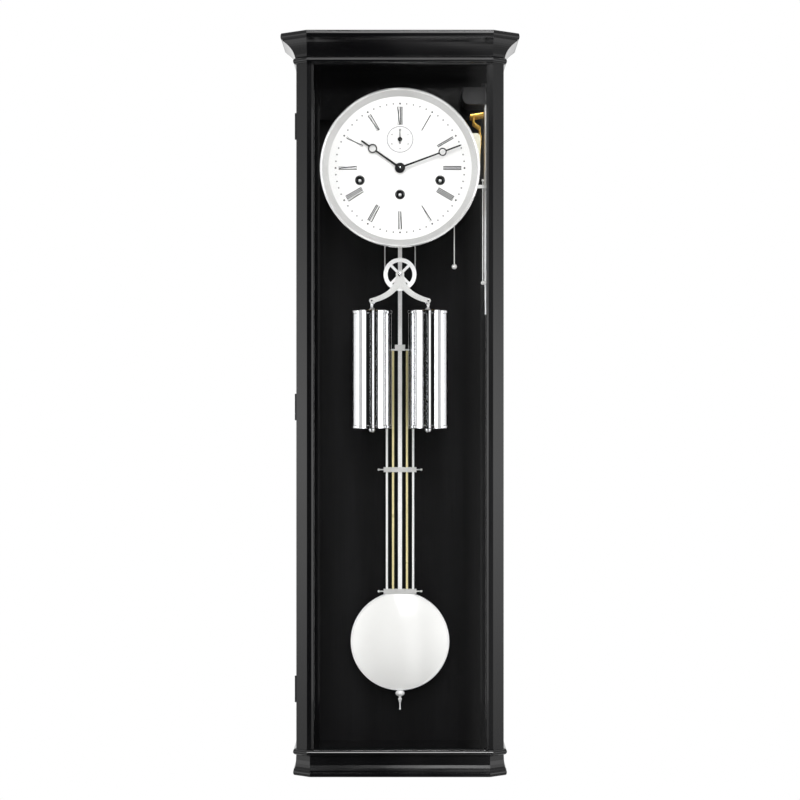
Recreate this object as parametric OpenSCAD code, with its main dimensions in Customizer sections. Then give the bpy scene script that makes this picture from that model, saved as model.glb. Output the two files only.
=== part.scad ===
// Wall-hung regulator clock: a glazed case with a hinged door, a dial with three hands,
// a plated movement, one cable line with two weights, a gridiron pendulum and rod chimes.
// Millimetres. The front faces -Y, the back lies in y = 0 and +Z is up. Heights in this file
// are counted from the underside of the base; hung() moves the hanger hole to the origin.

/* [Case] */
// Overall height
case_h = 1120; // [1118:1:1122]
// Width across the column, without its mouldings
column_w = 313; // [312:0.5:314]
// Depth from the wall to the front of the door
case_d = 165; // [165:0.5:168]
// Chamfer on the two front corners
corner_cut = 16.5; // [16:0.1:17]
// Overhang of the cornice
cornice_out = 24; // [22:0.5:26]
// Projection of the beads and the base
bead_out = 5; // [4:0.5:5.5]

/* [Door] */
// Thickness of the door frame
door_t = 22; // [21.5:0.5:22.5]
// Half width of the glazed opening
opening_half = 130.2; // [129.5:0.1:130.5]
// Thickness of every pane
glass_t = 3; // [2.8:0.1:3]
// Radius of a hinge knuckle
knuckle_r = 1.8; // [1.7:0.05:1.8]

/* [Dial] */
// Height of the dial's centre
dial_z = 919.4; // [919:0.1:920]
// Outer radius of the bezel
bezel_r = 121.5; // [118:0.5:122]
// Radius of the white dial
dial_r = 109; // [107:0.5:109]
// Angle of the minute hand, clockwise from twelve
minute_angle = 69.7; // [0:0.1:359]
// Angle of the hour hand, clockwise from twelve
hour_angle = 305.1; // [0:0.1:359]

/* [Weights] */
// Half distance between the two cable runs
cable_x = 23.2; // [23:0.1:23.4]
// Half distance between the weights
weight_x = 43.3; // [43:0.1:44]
// Radius of a weight
weight_r = 30.4; // [29:0.1:30.5]
// Length of a weight
weight_len = 181; // [175:1:185]

/* [Pendulum] */
// Radius of the bob
bob_r = 76.6; // [74:0.1:77]
// Thickness of the bob
bob_t = 26; // [22:1:28]
// Height of the bob's centre
bob_z = 192.3; // [190:0.1:196]

/* [Chimes] */
// Number of hammers and gong rods
chimes = 4; // [4:1:4]
// Radius of a gong rod
gong_r = 1.6; // [1.2:0.1:1.6]

/* [Hidden] */
$fn = 64;

// Case
half_w = column_w / 2;
hook_z = case_h - 90;
front_y = -case_d;
door_back_y = front_y + door_t;
post_front_y = door_back_y + 0.6;
panel_y = -8;
rail_y = -30;
gong_top_z = 1043;
base_h = 31;
floor_z = 35.5;
sill_z = 41.2;
lintel_z = 1071;
ceiling_z = 1078;
cornice_z = 1083;
glazing_x = opening_half + 4;
hinge_x = -half_w - 0.7;
hinge_y = door_back_y + 0.3;
hinge_heights = [130, 556, 980];
hinge_h = 40;
hook_r = 6;

// Dial and movement planes
dial_face_y = -118;
dial_back_y = dial_face_y + 1.5;
plate_front_y = -100;
plate_back_y = -45;
plate_t = 2;
seconds_z = dial_z + 43.6;
drum_z = dial_z - 40.3;
barrel_x = 61.1;
barrel_z = dial_z - 18.7;
arbor_r = 1.5;
fit = 0.05;
train_m1 = 0.7;
train_m2 = 0.6;
centre_teeth = 75;
third_pinion = 10;
third_teeth = 64;
escape_pinion = 8;
escape_r = 14;
motion_m1 = 0.75;
motion_m2 = 0.72;
cannon_teeth = 12;
minute_teeth = 36;
minute_pinion = 10;
hour_teeth = 40;
motion_gap = (cannon_teeth + minute_teeth) / 2 * motion_m1;
motion_dir = 219;
minute_x = motion_gap * cos(motion_dir);
minute_z = dial_z + motion_gap * sin(motion_dir);

// The third arbor is where the two centre distances meet
centre_third = (centre_teeth + third_pinion) / 2 * train_m1;
third_escape = (third_teeth + escape_pinion) / 2 * train_m2;
train_rise = seconds_z - dial_z;
third_dz = (pow(centre_third, 2) - pow(third_escape, 2) + pow(train_rise, 2)) / (2 * train_rise);
third_x = sqrt(pow(centre_third, 2) - pow(third_dz, 2));
third_z = dial_z + third_dz;

// Weights and pendulum
line_y = -82;
pulley_z = 759.3;
pulley_r = 25.2;
eye_z = 717;
weight_top = 704;
weight_bottom = weight_top - weight_len;
cable_r = 0.95;
pendulum_y = -30;
pivot_z = 985;

// Chimes
chime_x = 131;
chime_y = -105;
chime_gap = 15;
hammer_x = 118;
hammer_z = 925;
guide_x = 126;
guide_y = -113;
low_pull_x = 82.8;
low_pull_y = -105;

// The column's corners, back right to back left, and how each moves out with a moulding
function corners(cut) = [[half_w, 0], [half_w, front_y + cut], [half_w - cut, front_y],
    [cut - half_w, front_y], [-half_w, front_y + cut], [-half_w, 0]];
column = corners(corner_cut);
base_column = corners(corner_cut + 4.5);
outs = [[1, 0], [1, 0], [0, -1], [0, -1], [-1, 0], [-1, 0]];
frame_w = 15;

// A bead from z0 to z1, tied into its board between the heights tie0 and tie1
function half_round(z0, z1, out, tie0, tie1) = concat([[-1, tie0], [0, tie0]],
    [for (a = [-90:15:90]) [out * cos(a), (z0 + z1) / 2 + (z1 - z0) / 2 * sin(a)]],
    [[0, tie1], [-1, tie1]]);
function curve(a, b, c, t) = a * (1 - t) * (1 - t) + b * 2 * t * (1 - t) + c * t * t;
function polar(r, a) = [r * cos(a), r * sin(a)];

// A wheel's outline: straight-flanked teeth, thin enough to run with backlash
function wheel_points(teeth, m, phase = 0) = let (pitch = 360 / teeth, rp = teeth * m / 2)
    [for (i = [0:teeth - 1], p = [[-0.3, -1.15], [-0.17, 0], [-0.07, 0.8],
        [0.07, 0.8], [0.17, 0], [0.3, -1.15]])
        polar(rp + p[1] * m, phase + (i + p[0]) * pitch)];
// The phase that meshes a follower with a wheel whose first tooth points along its zero
function mesh_phase(dir, lead, follow, lead_phase) =
    dir + 180 + 180 / follow - (lead_phase - dir) * lead / follow;

module hung() translate([0, 0, -hook_z]) children();
module both() {
    children();
    mirror([1, 0, 0]) children();
}
module slab(y0, y1) translate([0, y1, 0]) rotate([90, 0, 0]) linear_extrude(y1 - y0) children();
module along_x(x0, x1) translate([x0, 0, 0]) rotate([90, 0, 90]) linear_extrude(x1 - x0) children();
module rod_y(x, z, r, y0, y1) translate([x, y0, z]) rotate([-90, 0, 0]) cylinder(r = r, h = y1 - y0);
module rod_z(x, y, r, z0, z1) translate([x, y, z0]) cylinder(r = r, h = z1 - z0);
module rod_x(y, z, r, x0, x1) translate([x0, y, z]) rotate([0, 90, 0]) cylinder(r = r, h = x1 - x0);
module box(x0, x1, y0, y1, z0, z1) translate([x0, y0, z0]) cube([x1 - x0, y1 - y0, z1 - z0]);
// A turned shape about an axis along Y: the profile is radius and distance forward of y
module turned(x, z, y) translate([x, y, z]) rotate([90, 0, 0]) rotate_extrude() children();
module ball(x, y, z, r) translate([x, y, z]) sphere(r = r);

// A moulding swept round the corners with true mitres
module swept(corners, outs, profile) {
    n = len(profile);
    m = len(corners);
    points = [for (i = [0:m - 1], p = profile) [corners[i][0] + p[0] * outs[i][0],
        corners[i][1] + p[0] * outs[i][1], p[1]]];
    sides = [for (i = [0:m - 2], j = [0:n - 1])
        [i * n + j, (i + 1) * n + j, (i + 1) * n + (j + 1) % n, i * n + (j + 1) % n]];
    ends = [[for (j = [0:n - 1]) j], [for (j = [0:n - 1]) m * n - 1 - j]];
    polyhedron(points, concat(sides, ends));
}

// Round wire through points in a plane of constant y
module wire(points, y, r) {
    for (i = [0:len(points) - 2]) {
        a = points[i];
        b = points[i + 1];
        translate([a[0], y, a[1]]) rotate([0, atan2(b[0] - a[0], b[1] - a[1]), 0])
            cylinder(r = r, h = norm(b - a), $fn = 24);
    }
    for (i = [1:len(points) - 2]) ball(points[i][0], y, points[i][1], r + 0.06, $fn = 24);
}

// ---------------------------------------------------------------- case
module back_panel() color([0.07, 0.07, 0.07]) hung() difference() {
    box(1.1 - half_w, half_w - 1.1, panel_y, 0, base_h, cornice_z);
    rod_y(0, hook_z, 13, panel_y - 1, 1);
    box(-30, 30, -plate_t, 1, hook_z - 20, hook_z + 20);
}

module hanging_rail() color([0.07, 0.07, 0.07]) hung() difference() {
    box(-124.6, 124.6, rail_y, panel_y, 1002, ceiling_z - 0.4);
    rod_y(0, hook_z, 13, -20, 0);
}

module hanger_plate() color("silver") hung() difference() {
    box(-29.8, 29.8, -plate_t, 0, hook_z - 19.8, hook_z + 19.8);
    rod_y(0, hook_z, hook_r, -10, 10);
    for (x = [-23, 23], z = [-13, 13]) {
        rod_y(x, hook_z + z, 2.1, -10, 10);
        rod_y(x, hook_z + z, 3.7, -1.2, 10);
    }
}

module case_screws() color("silver") hung() {
    for (x = [-23, 23], z = [-13, 13]) {
        rod_y(x, hook_z + z, 2, -22, -0.2);
        rod_y(x, hook_z + z, 3.6, -1.2, -0.1);
    }
    for (y = [-104, -44]) rod_z(128, y, 3.5, gong_top_z, gong_top_z + 6);
}

module front_posts() color([0.07, 0.07, 0.07]) hung() difference() {
    both() difference() {
        box(glazing_x + 0.3, half_w, post_front_y, post_front_y + 20.4, floor_z, ceiling_z);
        box(145.8, 149.2, post_front_y + 16.4, -110, floor_z - 1, ceiling_z + 1);
    }
    for (z = hinge_heights) {
        rod_z(hinge_x, hinge_y, knuckle_r + 0.3, z - hinge_h / 2 - 0.3, z + hinge_h / 2 + 0.3);
        box(-170, -140.8, post_front_y - 1, post_front_y + 1, z - hinge_h / 2 - 0.2,
            z + hinge_h / 2 + 0.2);
    }
}

module rear_posts() color([0.07, 0.07, 0.07]) hung() both() difference() {
    box(125, half_w, -30, panel_y, floor_z, ceiling_z);
    box(145.8, 149.2, -31, -26, floor_z - 1, ceiling_z + 1);
}

module side_glass() color([0.8, 0.9, 0.9, 0.3]) hung() both()
    box(146, 146 + glass_t, post_front_y + 16.6, -26.2, floor_z, ceiling_z);

side_bead = [[half_w, 0], [half_w, post_front_y]];

module top_board() color([0.05, 0.05, 0.05]) hung() {
    box(-half_w, half_w, post_front_y, panel_y, ceiling_z, cornice_z);
    box(17 - half_w, half_w - 17, post_front_y + 2, panel_y - 10, cornice_z - 1, cornice_z + 15);
    both() swept(side_bead, outs,
        half_round(1073.4, 1082.6, bead_out, ceiling_z + 0.1, cornice_z - 0.1));
}

module cornice() color([0.06, 0.06, 0.06]) hung() {
    cove = [for (t = [0:0.125:1])
        curve([2, cornice_z + 0.6], [5, cornice_z + 15], [cornice_out - 3, case_h - 11.4], t)];
    nose = [for (a = [-75:25:75]) [cornice_out - 2 + 2 * cos(a), case_h - 5 + 5 * sin(a)]];
    swept(column, outs, concat([[-frame_w, cornice_z + 0.1], [2, cornice_z + 0.1]], cove,
        [[cornice_out - 3, case_h - 10]], nose, [[cornice_out - 4, case_h], [-frame_w, case_h]]));
    inner_x = half_w - frame_w - 0.1;
    box(-inner_x, inner_x, front_y + frame_w + 0.1, 0, case_h - 9, case_h - 1);
}

module bottom_board() color([0.05, 0.05, 0.05]) hung() {
    box(-half_w, half_w, post_front_y, panel_y, base_h, floor_z);
    box(17 - half_w, half_w - 17, post_front_y + 2, panel_y - 10, base_h - 16, base_h + 1);
    both() swept(side_bead, outs,
        half_round(base_h + 0.2, base_h + 9.2, bead_out, base_h + 0.1, floor_z - 0.1));
}

module base_moulding() color([0.06, 0.06, 0.06]) hung() {
    flare = [for (t = [0:0.2:1]) curve([bead_out - 0.5, 8.5], [0.6, 11], [0.3, base_h - 0.6], t)];
    swept(base_column, outs, concat([[-frame_w, 0]],
        [for (a = [-75:25:75]) [bead_out - 2 + 2 * cos(a), 4.1 + 4.1 * sin(a)]], flare,
        [[0.3, base_h], [-frame_w, base_h]]));
    inner_x = half_w - frame_w - 0.1;
    box(-inner_x, inner_x, -frame_w, 0, 0, base_h);
}

// ---------------------------------------------------------------- door
stile_plan = [[half_w, door_back_y], [half_w, front_y + corner_cut],
    [half_w - corner_cut, front_y], [opening_half + 3, front_y], [opening_half, front_y + 3],
    [opening_half, front_y + 7], [glazing_x, front_y + 7], [glazing_x, door_back_y]];

module door_stiles() color([0.08, 0.08, 0.08]) hung() difference() {
    both() translate([0, 0, sill_z]) linear_extrude(lintel_z - sill_z) polygon(stile_plan);
    for (z = hinge_heights) {
        rod_z(hinge_x, hinge_y, knuckle_r + 0.3, z - hinge_h / 2 - 0.3, z + hinge_h / 2 + 0.3);
        box(-170, -140.8, door_back_y - 1, door_back_y + 1, z - hinge_h / 2 - 0.2,
            z + hinge_h / 2 + 0.2);
    }
}

// One rail, from its outer edge z0 to the opening at z1
module rail(z0, z1) {
    inward = sign(z1 - z0);
    plan = [[half_w, door_back_y], [half_w, front_y + corner_cut], [half_w - corner_cut, front_y],
        [corner_cut - half_w, front_y], [-half_w, front_y + corner_cut], [-half_w, door_back_y]];
    difference() {
        intersection() {
            along_x(-half_w, half_w) polygon([[door_back_y, z0], [front_y, z0],
                [front_y, z1 - 1.2 * inward], [front_y + 1.2, z1], [door_back_y, z1]]);
            translate([0, 0, min(z0, z1)]) linear_extrude(abs(z1 - z0)) polygon(plan);
        }
        box(-glazing_x, glazing_x, front_y + 7, door_back_y + 1, min(z1 - 3.5 * inward, z1),
            max(z1 - 3.5 * inward, z1));
    }
}

module door_rails() color([0.05, 0.05, 0.05]) hung() {
    bead = [for (i = [1:4]) column[i]];
    bead_outs = [for (i = [1:4]) outs[i]];
    rail(base_h + 0.3, sill_z);
    swept(bead, bead_outs,
        half_round(base_h + 0.4, base_h + 9.2, bead_out, base_h + 0.35, base_h + 9.25));
    rail(cornice_z - 0.4, lintel_z);
    swept(bead, bead_outs,
        half_round(1073.4, cornice_z - 0.5, bead_out, 1073.3, cornice_z - 0.45));
}

module door_glass() color([0.8, 0.9, 0.9, 0.3]) hung()
    box(-glazing_x + 0.2, glazing_x - 0.2, front_y + 7, front_y + 7 + glass_t, sill_z - 3.3,
        lintel_z + 3.3);

module glass_stops() color([0.07, 0.07, 0.07]) hung() {
    stop_y = front_y + 7 + glass_t;
    both() box(opening_half, glazing_x - 0.1, stop_y, stop_y + 6, sill_z, lintel_z);
    for (z = [sill_z - 3.4, lintel_z + 0.1])
        box(-glazing_x + 0.1, glazing_x - 0.1, stop_y, stop_y + 6, z, z + 3.3);
}

module knuckle(z0, z1) rod_z(hinge_x, hinge_y, knuckle_r, z0, z1);

module hinge_door_leaves() color([0.1, 0.1, 0.1]) hung() for (z = hinge_heights) difference() {
    union() {
        knuckle(z - 9.8, z + 9.8);
        box(hinge_x, -141, door_back_y - 1, door_back_y, z - 9.8, z + 9.8);
        box(-154.5, -141, door_back_y - 1, door_back_y, z - hinge_h / 2, z + hinge_h / 2);
    }
    rod_z(hinge_x, hinge_y, 0.86, z - 30, z + 30);
}

module hinge_case_leaves() color([0.1, 0.1, 0.1]) hung() for (z = hinge_heights) {
    for (s = [-1, 1]) {
        knuckle(z + s * 15 - 5, z + s * 15 + 5);
        box(hinge_x, -141, post_front_y, post_front_y + 1, z + s * 15 - 5, z + s * 15 + 5);
    }
    box(-154.5, -141, post_front_y, post_front_y + 1, z - 11, z + 11);
    rod_z(hinge_x, hinge_y, 0.8, z - hinge_h / 2, z + hinge_h / 2);
}

// ---------------------------------------------------------------- dial and hands
module dial_disc() color([0.95, 0.95, 0.95]) hung() difference() {
    rod_y(0, dial_z, dial_r, dial_face_y, dial_back_y);
    rod_y(0, dial_z, 7, -130, -110);
    rod_y(0, seconds_z, 2.2, -130, -110);
    rod_y(0, drum_z, 6.8, -130, -110);
    both() rod_y(barrel_x, barrel_z, 6.8, -130, -110);
}

module dial_ring() color([0.6, 0.6, 0.6]) hung() turned(0, dial_z, dial_back_y)
    polygon([[dial_r, 0], [bezel_r - 3, 0], [bezel_r - 3, 10], [bezel_r - 3.8, 10], [dial_r, 2.2]]);

module bezel() color([0.9, 0.9, 0.9]) hung() turned(0, dial_z, dial_back_y)
    polygon([[bezel_r - 3, 0], [bezel_r, 0], [bezel_r, 10.5], [bezel_r - 0.6, 12],
        [bezel_r - 1.5, 12.6], [bezel_r - 2.4, 12], [bezel_r - 3, 10.5]]);

module grommet(x, z) turned(x, z, dial_face_y + 0.4)
    polygon([[5.2, -16.4], [6, -16.4], [6, -1], [6.7, -1], [6.7, 0.5], [7.4, 0.5], [7.2, 1.2],
        [6, 1.4], [5.2, 1]]);

module winding_grommets() color([0.1, 0.1, 0.1]) hung() {
    grommet(0, drum_z);
    both() grommet(barrel_x, barrel_z);
}

// A hand pointing up from the origin: a tapered blade with a ring near its end
module hand_shape(length, ring_at, ring_r, hub_r, root_w, tip_w) difference() {
    union() {
        circle(r = hub_r);
        polygon([[-root_w / 2, 0], [root_w / 2, 0], [tip_w / 2, ring_at], [-tip_w / 2, ring_at]]);
        translate([0, ring_at]) circle(r = ring_r);
        polygon([[-tip_w / 2, ring_at], [tip_w / 2, ring_at], [tip_w / 2, length - 2],
            [0, length], [-tip_w / 2, length - 2]]);
    }
    translate([0, ring_at]) circle(r = ring_r - 1.9);
}

module hour_hand() color([0.03, 0.03, 0.03]) hung() translate([0, 0, dial_z])
    rotate([0, hour_angle, 0]) slab(-121.6, -120.6) difference() {
        hand_shape(72.7, 51, 7, 7.8, 3.4, 2.6);
        circle(r = 3.2);
    }

module minute_hand() color([0.03, 0.03, 0.03]) hung() translate([0, 0, dial_z])
    rotate([0, minute_angle, 0]) {
        slab(-125, -124) hand_shape(99.7, 69, 6.3, 5.4, 3, 2.3);
        rod_y(0, 0, 4.2, -126.6, -125);
        rod_y(0, 0, 2.4, -127.8, -126.6);
    }

module second_hand() color([0.03, 0.03, 0.03]) hung() {
    slab(-120.3, -119.7) translate([0, seconds_z]) {
        circle(r = 3.4);
        polygon([[-0.9, -7], [0.9, -7], [0.45, 16], [-0.45, 16]]);
    }
    rod_y(0, seconds_z, 1.6, -120.45, -116);
}

// ---------------------------------------------------------------- movement
module plate_outline() difference() {
    translate([-84, 852]) square([168, 148]);
    for (x = [-45, 45], z = [862, 985]) translate([x, z]) circle(r = 3);
    translate([-cable_x, 856]) circle(r = 2);
}

module front_plate() color("goldenrod") hung() {
    slab(plate_front_y, plate_front_y + plate_t) difference() {
        plate_outline();
        for (p = [[0, dial_z], [third_x, third_z], [0, seconds_z], [0, pivot_z]])
            translate(p) circle(r = arbor_r + fit);
        for (p = [[0, drum_z], [barrel_x, barrel_z], [-barrel_x, barrel_z]])
            translate(p) circle(r = 2.5 + fit);
        translate([minute_x, minute_z]) circle(r = 1.25);
    }
    difference() {
        box(low_pull_x - 3, low_pull_x + 1.1, low_pull_y - 3, plate_front_y, 852, 858);
        rod_z(low_pull_x, low_pull_y, 0.8, 840, 870);
    }
    rod_y(minute_x, minute_z, 1.25, -108, plate_front_y + plate_t);
}

module back_plate() color("goldenrod") hung() {
    slab(plate_back_y, plate_back_y + plate_t) difference() {
        plate_outline();
        for (p = [[0, dial_z], [third_x, third_z], [0, seconds_z], [0, pivot_z], [0, drum_z],
            [barrel_x, barrel_z], [-barrel_x, barrel_z]])
            translate(p) circle(r = arbor_r + fit);
    }
    // Suspension cock: two cheeks and a cross pin that the pendulum hangs from
    for (x = [-8, 5.5]) box(x, x + 2.5, plate_back_y + plate_t, -22, 988, 998);
    box(-8, 8, plate_back_y + plate_t, -22, 996, 999);
    rod_x(pendulum_y, 991, 1, -8, 8);
}

module pillars() color("goldenrod") hung() {
    for (x = [-45, 45], z = [862, 985]) {
        rod_y(x, z, 5, plate_front_y + plate_t, plate_back_y);
        rod_y(x, z, 3, plate_front_y - 2, plate_back_y + plate_t + 2);
    }
    rod_y(-cable_x, 856, 2, plate_front_y, plate_back_y + plate_t);
    // Dial feet
    for (a = [45:90:315]) rod_y(80 * cos(a), dial_z + 80 * sin(a), 2.5, dial_back_y, plate_front_y);
}

module brackets() color([0.3, 0.3, 0.3]) hung() both() {
    box(64, 84, panel_y - 3, panel_y, 880, 960);
    box(81, 84, plate_back_y + plate_t, panel_y - 3, 880, 960);
    box(64, 81, plate_back_y + plate_t, plate_back_y + plate_t + 3, 930, 960);
}

module square_end(x, z) translate([x - 1.7, -117.4, z - 1.7]) cube([3.4, 9, 3.4]);

module spring_barrels() color("goldenrod") hung() both() {
    rod_y(barrel_x, barrel_z, 21, -94, -50);
    rod_y(barrel_x, barrel_z, 21.9, -94, -92);
    rod_y(barrel_x, barrel_z, 2.5, -109, -94);
    rod_y(barrel_x, barrel_z, arbor_r, -50, plate_back_y + plate_t);
    square_end(barrel_x, barrel_z);
}

module cable_drum() color("goldenrod") hung() {
    rod_y(0, drum_z, cable_x - 1, -94, -70);
    for (y = [-95, -70]) rod_y(0, drum_z, 27, y, y + 1.5);
    rod_y(0, drum_z, 2.5, -109, -95);
    rod_y(0, drum_z, arbor_r, -68.5, plate_back_y + plate_t);
    square_end(0, drum_z);
    for (i = [-4:5]) if (i != 0) translate([0, line_y + i * 2.1, drum_z]) rotate([90, 0, 0])
        rotate_extrude() translate([cable_x, 0]) circle(r = 1, $fn = 16);
}

module wheel(x, z, teeth, m, y0, y1, phase = 0) slab(y0, y1) translate([x, z])
    polygon(wheel_points(teeth, m, phase));
module light_wheel(x, z, teeth, m, y0, y1, phase = 0) slab(y0, y1) translate([x, z])
    difference() {
        rim = teeth * m / 2 - 2 * m;
        polygon(wheel_points(teeth, m, phase));
        for (a = [0:90:270]) rotate(a) intersection() {
            difference() {
                circle(r = rim - 2);
                circle(r = 4.2);
            }
            translate([1.1, 1.1]) square(rim);
        }
    }

train_dir = atan2(third_z - dial_z, third_x);
escape_dir = atan2(seconds_z - third_z, -third_x);
third_phase = mesh_phase(train_dir, centre_teeth, third_pinion, 0);
escape_phase = mesh_phase(escape_dir, third_teeth, escape_pinion, 0);

module centre_wheel() color("goldenrod") hung() {
    rod_y(0, dial_z, arbor_r, -111, plate_back_y + plate_t);
    light_wheel(0, dial_z, centre_teeth, train_m1, -54, -52.6);
}

module third_wheel() color("goldenrod") hung() {
    rod_y(third_x, third_z, arbor_r, plate_front_y, plate_back_y + plate_t);
    wheel(third_x, third_z, third_pinion, train_m1, -55.5, -51.6, third_phase);
    light_wheel(third_x, third_z, third_teeth, train_m2, -50.5, -49.3);
}

module escape_wheel() color("goldenrod") hung() {
    rod_y(0, seconds_z, arbor_r, -116, plate_back_y + plate_t);
    wheel(0, seconds_z, escape_pinion, train_m2, -51.4, -48.4, escape_phase);
    slab(-58, -56.8) translate([0, seconds_z]) polygon([for (i = [0:29], p = [[0, 1], [0.2, 0.82],
        [0.75, 0.82]]) polar(escape_r * p[1], (i + p[0]) * 12)]);
}

// Pallets on their arbor, with the crutch behind the back plate
module anchor_crutch() color([0.6, 0.6, 0.6]) hung() {
    rod_y(0, pivot_z, arbor_r, plate_front_y, -34.5);
    slab(-58, -56.8) translate([0, pivot_z]) {
        circle(r = 3.4);
        for (s = [-1, 1]) polygon([[0, 2.6], [s * 13, -6], [s * 13.6, -12], [s * 11.6, -12],
            [s * 10.8, -7.4], [0, -1.6]]);
    }
    slab(-38.4, -36.4) translate([0, pivot_z]) {
        circle(r = 4);
        translate([-1.6, -64]) square([3.2, 64]);
    }
    for (x = [-5.4, 3.6]) box(x, x + 1.8, -38.4, -25, pivot_z - 64, pivot_z - 59);
    box(-5.4, 5.4, -38.4, -35.4, pivot_z - 64, pivot_z - 59);
}

module cannon_pinion() color("goldenrod") hung() difference() {
    union() {
        wheel(0, dial_z, cannon_teeth, motion_m1, -103.6, -101);
        rod_y(0, dial_z, 2.6, -124, -103.6);
    }
    rod_y(0, dial_z, arbor_r + fit, -112, -90);
}

minute_phase = mesh_phase(motion_dir, cannon_teeth, minute_teeth, 0);
hour_phase = mesh_phase(motion_dir + 180, minute_pinion, hour_teeth, 0);

module minute_wheel() color("goldenrod") hung() difference() {
    union() {
        wheel(minute_x, minute_z, minute_teeth, motion_m1, -103.2, -101.4, minute_phase);
        wheel(minute_x, minute_z, minute_pinion, motion_m2, -107, -103.2);
    }
    rod_y(minute_x, minute_z, 1.25 + fit, -112, -90);
}

module hour_wheel() color("goldenrod") hung() difference() {
    union() {
        wheel(0, dial_z, hour_teeth, motion_m2, -106.4, -104.8, hour_phase);
        rod_y(0, dial_z, 4.2, -120.6, -106.4);
        rod_y(0, dial_z, 3.15, -122.2, -120.6);
    }
    rod_y(0, dial_z, 2.6 + fit, -130, -90);
}

// ---------------------------------------------------------------- weight line
module cable_run_left() color("silver") hung() rod_z(-cable_x, line_y, cable_r, pulley_z, 853.8);
module cable_run_right() color("silver") hung() rod_z(cable_x, line_y, cable_r, pulley_z, drum_z);

module cable_loop() color("silver") hung() translate([0, line_y, pulley_z]) rotate([90, 0, 0])
    difference() {
        rotate_extrude() translate([cable_x, 0]) circle(r = cable_r, $fn = 24);
        translate([-30, 0, -5]) cube([60, 30, 10]);
    }

module pulley() color([0.9, 0.9, 0.9]) hung() translate([0, line_y, pulley_z]) rotate([90, 0, 0])
    difference() {
        union() {
            rotate_extrude() difference() {
                translate([19, -3.2]) square([pulley_r - 19, 6.4]);
                translate([cable_x + 0.9, 0]) circle(r = 1.96);
                translate([cable_x + 0.9, -1.96]) square([4, 3.92]);
            }
            for (a = [45, 135]) rotate(a) translate([-20, -2, -1.6]) cube([40, 4, 3.2]);
            translate([0, 0, -3.4]) cylinder(r = 6, h = 6.8);
        }
        translate([0, 0, -9]) cylinder(r = 2.05, h = 18);
    }

// One yoke plate: a wishbone from the axle to the two hooks' eyes
module yoke_outline() difference() {
    union() {
        circle(r = 6.4);
        for (s = [-1, 1]) {
            polygon(concat([for (t = [0:0.1:1])
                    curve([s * 5.6, 3], [s * 5, -26], [s * weight_x, eye_z - pulley_z + 5.6], t)],
                [for (t = [0:0.1:1])
                    curve([s * weight_x, eye_z - pulley_z - 1.4], [s * 14, -38], [0, -17.6], t)]));
            translate([s * weight_x, eye_z - pulley_z + 1.8]) circle(r = 3.9);
        }
        polygon([[-6, 0], [6, 0], [7, -10], [0, -17.6], [-7, -10]]);
    }
    for (s = [-1, 1]) translate([s * weight_x, eye_z - pulley_z + 1.8]) circle(r = 1.5);
}

module yoke() color([0.7, 0.7, 0.7]) hung() {
    translate([0, 0, pulley_z]) for (y = [line_y - 6, line_y + 4.4]) slab(y, y + 1.6)
        yoke_outline();
    rod_y(0, pulley_z, 2, line_y - 8, line_y + 8);
    rod_y(0, pulley_z, 3.5, line_y - 8.6, line_y - 6);
    rod_y(0, pulley_z, 3.5, line_y + 6, line_y + 8);
}

// Turned weight shell with proud rims, a domed cap, its finial and its hook
module weight_body() {
    turned_z(weight_x, line_y) polygon([[0, weight_bottom], [weight_r, weight_bottom],
        [weight_r + 0.8, weight_bottom + 0.8], [weight_r + 0.8, weight_bottom + 4.4],
        [weight_r, weight_bottom + 5], [weight_r, weight_top - 5],
        [weight_r + 0.8, weight_top - 4.4], [weight_r + 0.8, weight_top - 0.8],
        [weight_r, weight_top], [7, weight_top], [3, weight_top + 4.6], [0, weight_top + 4.6]]);
    ball(weight_x, line_y, weight_bottom - 1.6, 5);
    wire([[weight_x, weight_top + 2], [weight_x + 1.6, weight_top + 9], [weight_x - 3.6, eye_z - 1.8],
        [weight_x - 4.4, eye_z + 1], [weight_x - 2, eye_z + 3.6], [weight_x, eye_z + 3]], line_y, 0.9);
}
module turned_z(x, y) translate([x, y, 0]) rotate_extrude() children();

module weight_right() color([0.9, 0.9, 0.9]) hung() {
    weight_body();
    hook_arch();
}
module weight_left() color([0.9, 0.9, 0.9]) hung() mirror([1, 0, 0]) {
    weight_body();
    hook_arch();
}
// The hook's cross bar rests through both yoke eyes
module hook_arch() rod_y(weight_x, eye_z + 1.8, 1.2, line_y - 8, line_y + 8);

// ---------------------------------------------------------------- pendulum
bridge_heights = [458.6, 269.6];
module pendulum_bar() color([0.8, 0.8, 0.8]) hung() {
    box(-3.1, 3.1, pendulum_y - 1.5, pendulum_y + 1.5, bob_z - bob_r + 4, 980);
    difference() {
        box(-3.1, 3.1, pendulum_y - 2.4, pendulum_y + 2.4, 978, 994);
        rod_x(pendulum_y, 991, 1.3, -5, 5);
    }
    rod_z(0, pendulum_y, 2, 98, bob_z - bob_r + 5);
    rod_z(0, pendulum_y, 1.1, 85.8, 98);
    ball(0, pendulum_y, 102, 3);
    ball(0, pendulum_y, 87.2, 1.6);
}

module brass_rods() color("goldenrod") hung() both()
    rod_z(10.8, pendulum_y, 1.75, bridge_heights[1] - 1, 643.4);
module steel_rods() color([0.85, 0.85, 0.85]) hung() both()
    rod_z(20.4, pendulum_y, 1.7, bridge_heights[1] - 1, 643.4);

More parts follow.
